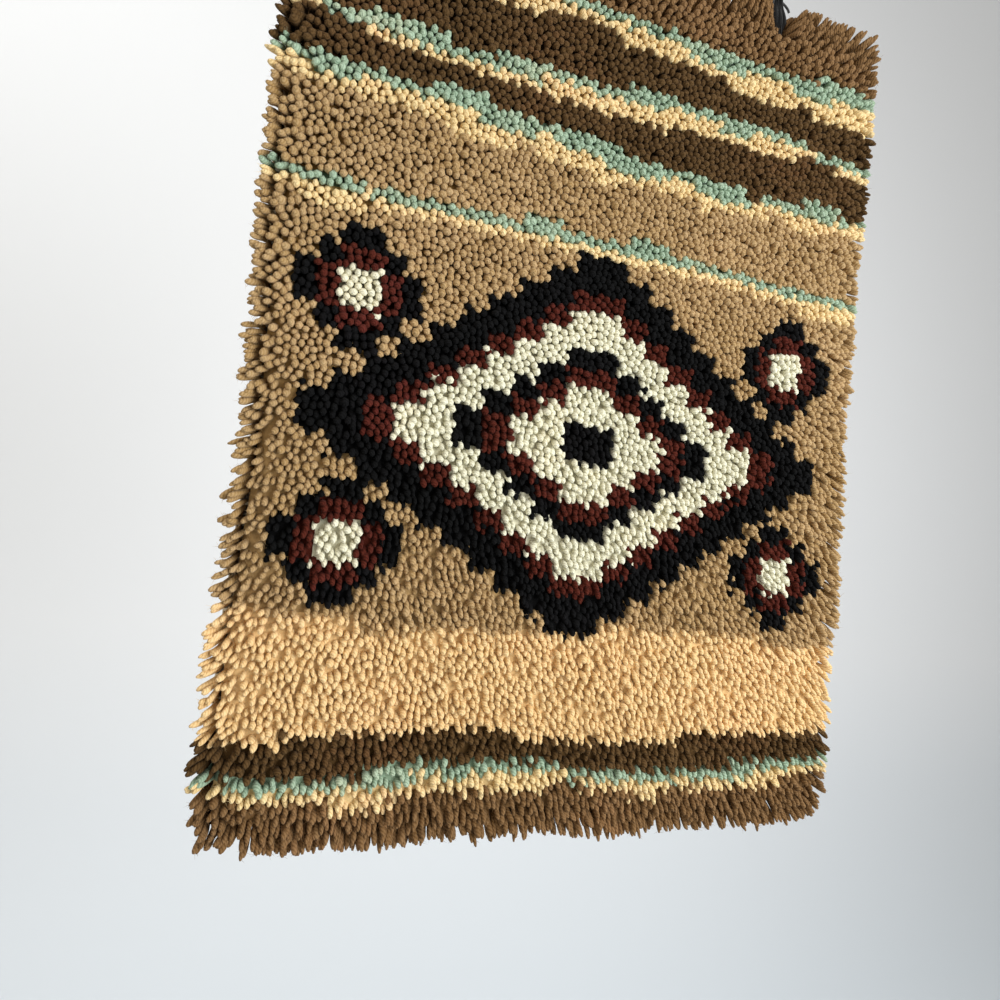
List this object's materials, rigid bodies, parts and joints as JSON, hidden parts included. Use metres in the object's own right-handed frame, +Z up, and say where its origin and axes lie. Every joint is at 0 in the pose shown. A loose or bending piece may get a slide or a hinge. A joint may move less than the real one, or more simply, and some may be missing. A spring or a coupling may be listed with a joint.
{
  "type": "latch hook rug with hanging clips",
  "caption": "Latch hook rug of cut wool pile on open canvas, with striped bands and a stepped diamond design, hung upright from black spring clips with wire eyes.",
  "frame": {"origin": "midway between the two hanging eyes, at the top inside of their wire, where the wall's two hooks carry it", "axes": "+X to the right seen from the pile side, +Y into the wall, +Z up; the pile faces -Y"},
  "size_m": [0.543, 0.0338, 0.7745],
  "materials": {
    "canvas": "stiff cotton rug canvas in natural white, with the yarn knots' loops across it",
    "pile": "cut twisted wool rug yarn, matt and slightly fuzzy, in tan, sand, brown, mint, cream, black and dark red",
    "clip_jaw": "black satin plastic with lengthwise ribs",
    "clip_wire": "black lacquered spring wire"
  },
  "bodies": {
    "root": {"canvas": "canvas", "pile": "pile", "left_clip_front_jaw": "clip_jaw", "left_clip_back_jaw": "clip_jaw", "left_clip_spring": "clip_wire", "left_clip_wire": "clip_wire", "right_clip_front_jaw": "clip_jaw", "right_clip_back_jaw": "clip_jaw", "right_clip_spring": "clip_wire", "right_clip_wire": "clip_wire"}
  },
  "joints": []
}
